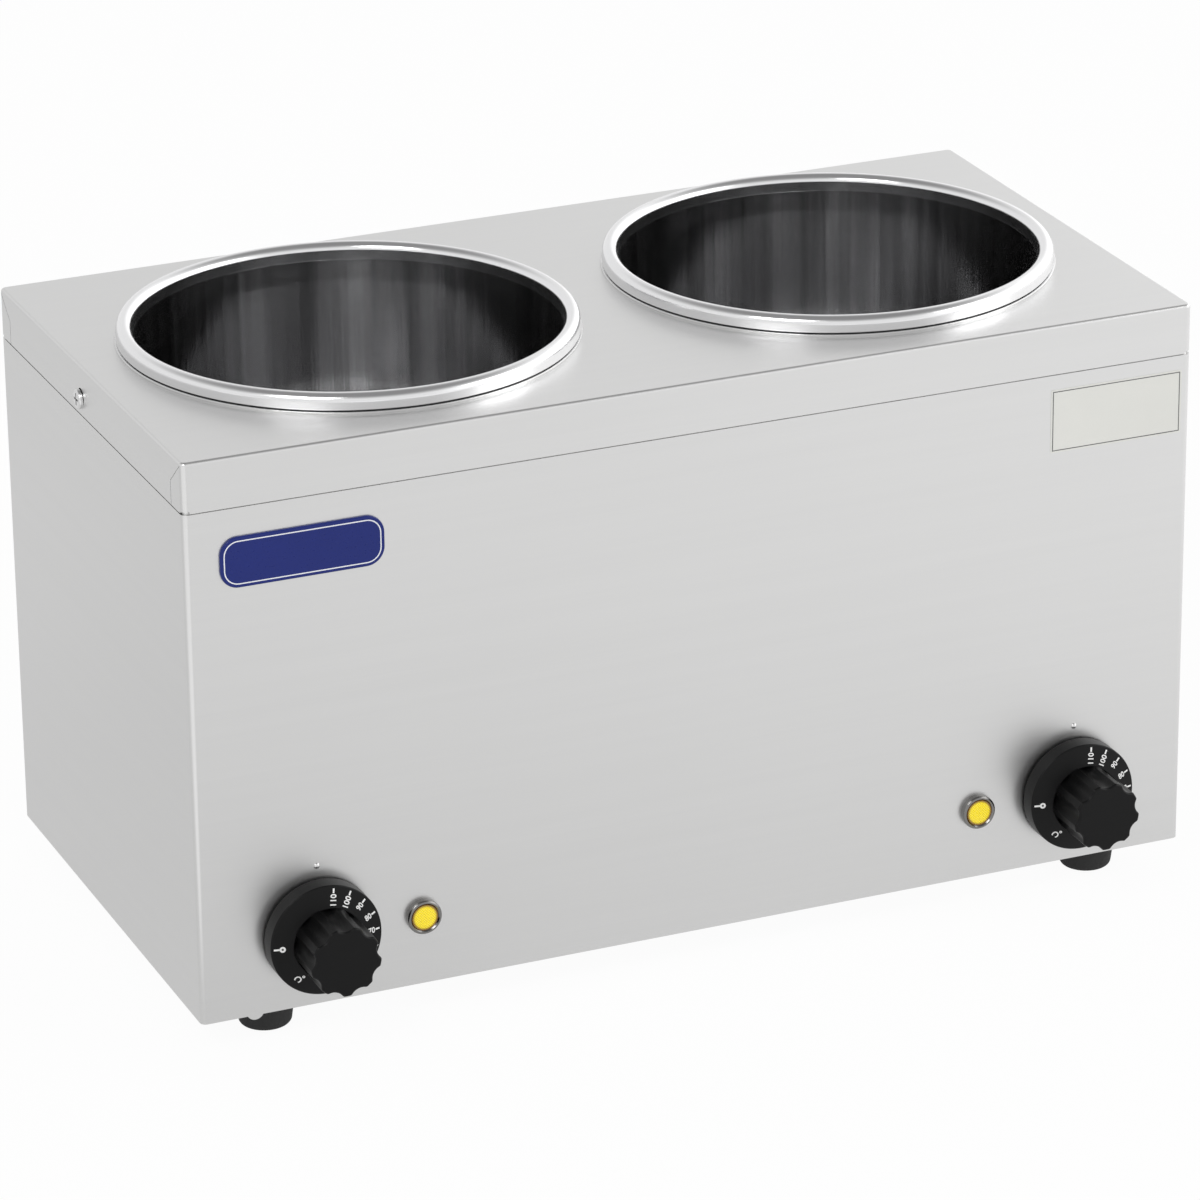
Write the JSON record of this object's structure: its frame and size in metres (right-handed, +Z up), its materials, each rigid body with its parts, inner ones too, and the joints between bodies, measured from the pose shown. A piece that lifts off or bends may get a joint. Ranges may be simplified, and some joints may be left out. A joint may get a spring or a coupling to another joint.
{
  "type": "soup bain-marie",
  "caption": "Countertop wet-heat soup warmer: a satin steel case with two round water wells, each holding a lift-out pot, with its own dial thermostat and pilot lamp.",
  "frame": {"origin": "centre of the object's outline in plan, on the plane that its feet stand on", "axes": "+X to the right seen from the controls, +Y from the controls to the back, +Z up"},
  "size_m": [0.5244, 0.327, 0.3095],
  "materials": {
    "case_steel": "satin stainless steel with a fine level grain",
    "pot_steel": "mirror-polished stainless steel",
    "well_steel": "deep-drawn stainless steel",
    "base_steel": "galvanised sheet steel",
    "heater_sheath": "dull alloy sheath",
    "plated_steel": "zinc-plated steel",
    "bright_steel": "bright stainless steel screws",
    "brass": "plain machined brass",
    "copper": "drawn copper",
    "ceramic": "steatite ceramic",
    "knob_plastic": "satin black moulded plastic",
    "thermostat_plastic": "moulded phenolic",
    "lamp_chrome": "bright plated bezel",
    "lamp_lens": "yellow ribbed lens",
    "lamp_body": "white nylon",
    "label_film": "plain off-white label",
    "badge_paint": "plain dark blue plate",
    "foot_rubber": "black rubber",
    "seal_rubber": "dark sealing rubber",
    "gland_plastic": "black nylon",
    "block_plastic": "cream nylon",
    "wire_brown": "brown heat-proof insulation",
    "wire_black": "black heat-proof insulation",
    "wire_blue": "blue heat-proof insulation",
    "wire_white": "white heat-proof insulation",
    "wire_green": "green heat-proof insulation"
  },
  "bodies": {
    "case": {"housing_shell": "case_steel", "top_cover": "case_steel", "base_plate": "base_steel", "left_well": "well_steel", "right_well": "well_steel", "left_heater": "heater_sheath", "right_heater": "heater_sheath", "heater_gaskets": "seal_rubber", "heater_bushings": "brass", "heater_nuts": "brass", "heater_beads": "ceramic", "heater_pins": "plated_steel", "left_thermostat": "thermostat_plastic", "right_thermostat": "thermostat_plastic", "thermostat_blades": "brass", "thermostat_screws": "plated_steel", "left_lamp_bezel": "lamp_chrome", "right_lamp_bezel": "lamp_chrome", "left_lamp_lens": "lamp_lens", "right_lamp_lens": "lamp_lens", "lamp_barrels": "lamp_body", "lamp_nuts": "lamp_body", "lamp_blades": "brass", "blank_label": "label_film", "badge_plate": "badge_paint", "rubber_feet": "foot_rubber", "foot_screws": "plated_steel", "foot_washers": "plated_steel", "foot_nuts": "plated_steel", "cover_screws": "bright_steel", "cover_nuts": "plated_steel", "base_screws": "bright_steel", "cable_gland": "gland_plastic", "gland_seal": "seal_rubber", "gland_cap": "gland_plastic", "gland_locknut": "gland_plastic", "terminal_block": "block_plastic", "block_fixings": "plated_steel", "block_screws": "plated_steel", "earth_stud": "brass", "earth_nuts": "brass", "earth_ring": "plated_steel", "capillary_bulbs": "copper", "capillary_tubes": "copper", "bulb_clips": "plated_steel", "push_on_terminals": "brass", "crimp_sleeves": "plated_steel", "live_wires": "wire_brown", "switched_wires": "wire_black", "neutral_wires": "wire_blue", "lamp_wires": "wire_white", "earth_wire": "wire_green"},
    "left_control": {"left_knob": "knob_plastic", "left_spindle": "plated_steel"},
    "right_control": {"right_knob": "knob_plastic", "right_spindle": "plated_steel"},
    "left_lift_pot": {"left_pot": "pot_steel"},
    "right_lift_pot": {"right_pot": "pot_steel"}
  },
  "joints": [
    {"name": "left_knob_turn", "type": "hinge", "parent": "case", "child": "left_control", "pos_m": [-0.2, -0.1255, 0.0535], "axis": [0, -1, 0], "range_deg": [0, 270]},
    {"name": "right_knob_turn", "type": "hinge", "parent": "case", "child": "right_control", "pos_m": [0.2, -0.1255, 0.0535], "axis": [0, -1, 0], "range_deg": [0, 270]},
    {"name": "left_pot_lift", "type": "slide", "parent": "case", "child": "left_lift_pot", "axis": [0, 0, 1], "range_m": [0, 0.2]},
    {"name": "right_pot_lift", "type": "slide", "parent": "case", "child": "right_lift_pot", "axis": [0, 0, 1], "range_m": [0, 0.2]}
  ]
}
